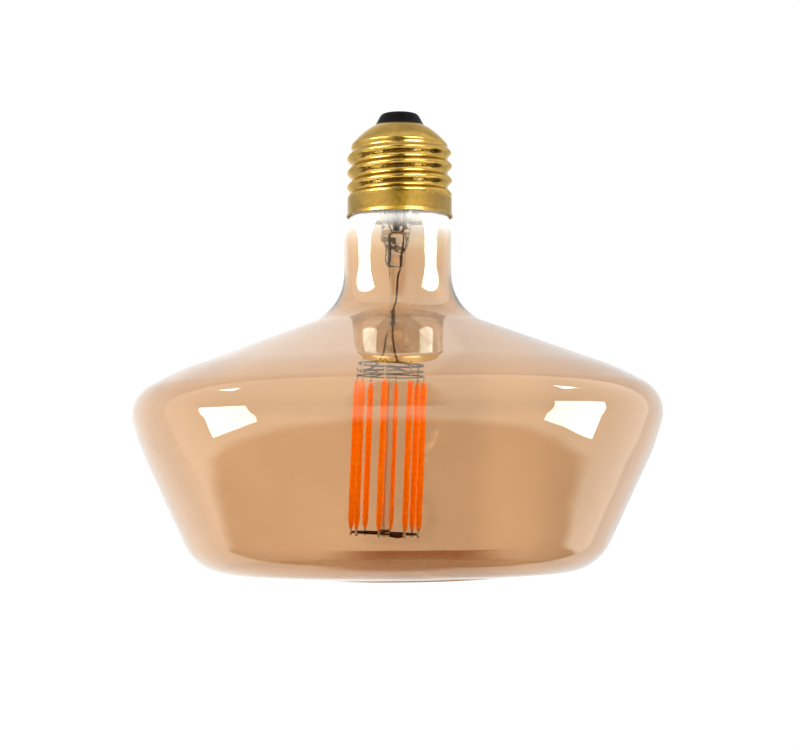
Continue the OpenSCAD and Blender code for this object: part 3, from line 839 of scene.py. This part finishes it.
def filament(i):
    """Phosphor bar: a slightly lumpy round strip that tapers to its pins."""
    length = FILAMENT_TOP - FILAMENT_FOOT
    rows, sides = 72, 20
    end_r, taper = 0.32, 2.6
    centre = cage_point(i, CAGE_R, FILAMENT_FOOT)
    verts = []
    for k in range(rows + 1):
        t = k / rows
        z = t * length
        r = end_r + (FILAMENT_R - end_r) * math.sqrt(smooth_step(min(t, 1 - t) * length / taper))
        for s in range(sides):
            a = math.tau * s / sides
            d = Vector((math.cos(a), math.sin(a), 0))
            spot = Vector((1.7 * d.x, 1.7 * d.y, 0.55 * z)) + Vector((9 * i, 0, 0))
            lump = 1 - 0.018 * (0.5 + 0.5 * noise.noise(spot))
            verts.append(centre + d * r * lump + Vector((0, 0, z)))
    faces = grid_faces(rows + 1, sides)
    faces += [tuple(range(sides))[::-1], tuple(rows * sides + s for s in range(sides))]
    return join_parts(f"phosphor_bar_{i}", [(verts, faces)], on_stem)


# ---- Dressing the frame ----

# Builder, material slot and the CAD node whose place the piece takes.
PIECES = [
    (screw_shell, "cap_brass", "screw_shell"),
    (insulator, "black_glass", "cap_insulator"),
    (centre_contact, "contact_brass", "centre_contact"),
    (contact_solder, "solder", "contact_solder"),
    (glass_envelope, "amber_glass", "glass_envelope"),
    (stem_flare, "clear_glass", "stem_flare"),
    (exhaust_tube, "clear_glass", "exhaust_tube"),
    (support_rod, "clear_glass", "support_rod"),
    (lead_wire_positive, "dark_wire", "lead_wire_positive"),
    (lead_wire_negative, "dark_wire", "lead_wire_negative"),
    (lead_clip, "dark_wire", "lead_clip"),
    (positive_feed, "dark_wire", "positive_feed"),
    (upper_anchors, "dark_wire", "upper_anchors"),
    (upper_pins, "pin_steel", "upper_pins"),
    (lower_pins, "pin_steel", "lower_pins"),
    (lower_spokes, "dark_wire", "lower_spokes"),
    (lower_tab, "dark_wire", "lower_tab"),
]

for build, slot, node in PIECES:
    finish_piece(build(), MATERIALS[slot], slot, node)

for name, z, node in (("top_ring_high", UPPER_Z[0], "upper_ring_positive"),
                      ("top_ring_low", UPPER_Z[1], "upper_ring_negative"),
                      ("foot_ring", LOWER_Z, "lower_ring")):
    finish_piece(wire_ring(name, z, -z), MATERIALS["dark_wire"], "dark_wire", node)

for number in range(1, FILAMENTS + 1):
    finish_piece(filament(number), MATERIALS["phosphor"], "phosphor", f"filament_{number}")

# The CAD nodes that nothing replaced stay in view and get the same kinds of material.
node_slots = {part["node"]: part["material_slot"] for part in frame["record"]["subparts"]}
for node, obj in frame["nodes"].items():
    if not obj.hide_render:
        for holder in obj.material_slots:
            holder.material = MATERIALS[node_slots[node]]


# ---- Studio, in metres ----

FLOOR_DROP = 0.8
BRIGHTNESS = 1.06

# The room that mirrored and refracted rays see, by unit direction: x to the right, y away and z up.
PLAN_TURN = (0.162, 0.987)
FRONT_EDGE = (-0.59, -0.545)
FLOOR_EDGE, FLOOR_LIGHT, WALL_LIGHT = (-0.53, -0.46), 0.015, 1.4
CEILING_EDGE, CEILING_LIGHT = (0.2, 0.6), 0.25
SLOT_WIDTH, SLOT_FOOT, SLOT_TOP, SLOT_LIGHT = (0.2, 0.4), (-0.15, -0.05), (0.9, 0.98), 0.15
SWEEP_EDGE, SWEEP_LIGHT, SWEEP_HIGH_LIGHT = (0.12, 0.45), 1.12, 0.97
WASH_EDGE, WASH_LEFT, WASH_RIGHT = (-0.045, 0.02), 1.04, 0.86
STRIPE_X, STRIPE_WIDTH, STRIPE_LIGHT = 0.066, (0.005, 0.03), 0.16
NADIR_EDGE, NADIR_LIGHT = (-0.985, -0.9), 0.05
TABLE_Z, TABLE_HEIGHT, TABLE_X, TABLE_WIDTH = -0.095, (0.04, 0.048), 0.01, (0.02, 0.06)
TABLE_BROWN = (0.5, 0.27, 0.15, 1)

CAP_AIM = (0, 0, -0.015)
NECK_AIM = (0, 0, -0.038)
DISC_AIM = (0, 0, -0.08)


def softbox(name, azimuth, elevation, distance, size, radiance, aim, only, spread=180):
    """Area light on the pieces in only, aimed at a point and not seen through the glass.

    Azimuth 0 is the viewer's side and 90 is the right. Both angles and the spread are in degrees.
    """
    light = bpy.data.lights.new(name, "AREA")
    light.shape = "RECTANGLE"
    light.size, light.size_y = size
    light.energy = radiance * math.pi * size[0] * size[1]
    light.spread = math.radians(spread)
    obj = bpy.data.objects.new(name, light)
    bpy.context.scene.collection.objects.link(obj)
    a, e = math.radians(azimuth), math.radians(elevation)
    way = Vector((math.sin(a) * math.cos(e), -math.cos(a) * math.cos(e), math.sin(e)))
    obj.location = Vector(aim) + distance * way
    obj.rotation_euler = (Vector(aim) - obj.location).to_track_quat("-Z", "Y").to_euler()
    lit = bpy.data.collections.new(name + "_lit")
    for piece in only:
        lit.objects.link(bpy.data.objects[piece])
    obj.light_linking.receiver_collection = lit
    obj.visible_transmission = False


def studio_world():
    """White to the camera and to matt surfaces. Mirrored and refracted rays see the plan of a room instead.

    In front it has a dim floor, bright walls with a dark upright slot, and a brighter ceiling. Behind is a
    pale sweep, washed from left to right, with a faint stripe and the brown edge of a table low down.
    """
    world = bpy.data.worlds.new("studio")
    world.use_nodes = True
    world.cycles.sampling_method = "NONE"
    tree = world.node_tree
    background = tree.nodes["Background"]

    def math_node(kind, *values):
        node = tree.nodes.new("ShaderNodeMath")
        node.operation = kind
        for socket, value in zip(node.inputs, values):
            if isinstance(value, bpy.types.NodeSocket):
                tree.links.new(value, socket)
            else:
                socket.default_value = value
        return node.outputs[0]

    def plus(a, b):
        return math_node("ADD", a, b)

    def minus(a, b):
        return math_node("SUBTRACT", a, b)

    def times(a, b):
        return math_node("MULTIPLY", a, b)

    def greater(a, b):
        return math_node("MAXIMUM", a, b)

    def step(value, edge, below, above):
        node = tree.nodes.new("ShaderNodeMapRange")
        node.interpolation_type = "SMOOTHSTEP"
        for socket, number in zip(node.inputs[1:5], (*edge, below, above)):
            socket.default_value = number
        tree.links.new(value, node.inputs[0])
        return node.outputs[0]

    def near(value, middle, edge, inside, outside):
        return step(math_node("ABSOLUTE", minus(value, middle)), edge, inside, outside)

    split = tree.nodes.new("ShaderNodeSeparateXYZ")
    tree.links.new(tree.nodes.new("ShaderNodeTexCoord").outputs["Generated"], split.inputs[0])
    x, y, z = split.outputs
    level = greater(math_node("SQRT", plus(times(x, x), times(y, y))), 0.001)
    facing = math_node("DIVIDE", minus(times(x, PLAN_TURN[0]), times(y, PLAN_TURN[1])), level)
    in_front = step(facing, FRONT_EDGE, 0, 1)

    walls = plus(step(z, FLOOR_EDGE, FLOOR_LIGHT, WALL_LIGHT), step(z, CEILING_EDGE, 0, CEILING_LIGHT))
    slot = greater(near(math_node("DIVIDE", x, level), 0, SLOT_WIDTH, SLOT_LIGHT, 1),
                   greater(step(z, SLOT_FOOT, 1, 0), step(z, SLOT_TOP, 0, 1)))
    wash = plus(step(x, WASH_EDGE, WASH_LEFT, WASH_RIGHT), near(x, STRIPE_X, STRIPE_WIDTH, STRIPE_LIGHT, 0))
    sweep_light = times(step(z, SWEEP_EDGE, SWEEP_LIGHT, SWEEP_HIGH_LIGHT), wash)
    room = plus(times(in_front, times(walls, slot)), times(minus(1, in_front), sweep_light))
    room = times(room, step(z, NADIR_EDGE, NADIR_LIGHT, 1))

    path = tree.nodes.new("ShaderNodeLightPath").outputs
    mirrored = greater(path["Is Glossy Ray"], path["Is Transmission Ray"])
    direct = minus(1, mirrored)
    strength = plus(times(mirrored, room), direct)
    tree.links.new(times(strength, BRIGHTNESS), background.inputs["Strength"])

    off_table = greater(near(z, TABLE_Z, TABLE_HEIGHT, 0, 1), near(x, TABLE_X, TABLE_WIDTH, 0, 1))
    colour = tree.nodes.new("ShaderNodeMix")
    colour.data_type = "RGBA"
    tree.links.new(greater(greater(in_front, direct), off_table), colour.inputs["Factor"])
    colour.inputs[MIX_A].default_value = TABLE_BROWN
    colour.inputs[MIX_B].default_value = (*WHITE, 1)
    tree.links.new(colour.outputs[MIX_RESULT], background.inputs["Color"])
    bpy.context.scene.world = world


def floor():
    """Plain pale floor well below the hanging lamp, not seen in reflections or through the glass."""
    half, cells = 6000, 12
    cell = 2 * half / cells
    row = cells + 1
    height = -BULB_H - FLOOR_DROP / MM
    verts = [(-half + cell * i, -half + cell * j, height) for j in range(row) for i in range(row)]
    corners = [j * row + i for j in range(cells) for i in range(cells)]
    obj = new_object("studio_floor", verts, [(k, k + 1, k + row + 1, k + row) for k in corners])
    paper = plain("floor_paper", (0.955, 0.955, 0.955), (0.97, 0.97, 0.97), 0.01, (0.85, 0.95), 0.02,
                  Specular_IOR_Level=0)
    obj.data.materials.append(paper)
    obj.visible_glossy = False
    obj.visible_transmission = False


def camera():
    """Level with the lower wall of the disc, looking slightly up."""
    data = bpy.data.cameras.new("camera")
    data.lens = 79.92
    data.sensor_width = 36
    data.clip_start = 0.01
    obj = bpy.data.objects.new("camera", data)
    obj.location = (0.0001, -0.442, -0.0932)
    obj.rotation_euler = (math.radians(93.51), 0, 0)
    bpy.context.scene.collection.objects.link(obj)
    bpy.context.scene.camera = obj


studio_world()
floor()
brass_only = ["rolled_shell"]
glass_only = ["blown_bulb"]
glass_and_core = [obj.name for obj in bpy.data.objects
                  if obj.type == "MESH" and obj.name not in ("rolled_shell", "insulator_cone")]
softbox("softbox_left", -75, -11, 0.85, (0.38, 0.40), 14, DISC_AIM, glass_and_core)
softbox("softbox_right", 80, -7.5, 0.85, (0.42, 0.5), 14, DISC_AIM, glass_and_core)
for name, sign, key_azimuth in (("left", -1, -54), ("right", 1, 36)):
    softbox("neck_strip_" + name, 74 * sign, 24, 0.09, (0.062, 0.075), 9, NECK_AIM, glass_only, spread=50)
    softbox("cap_key_" + name, key_azimuth, 36, 0.32, (0.2, 0.12), 25, CAP_AIM, brass_only)
    softbox("cap_bounce_" + name, 42 * sign, -27, 0.05, (0.07, 0.03), 2.0, CAP_AIM, brass_only)
camera()
bpy.context.scene.view_settings.view_transform = "Standard"
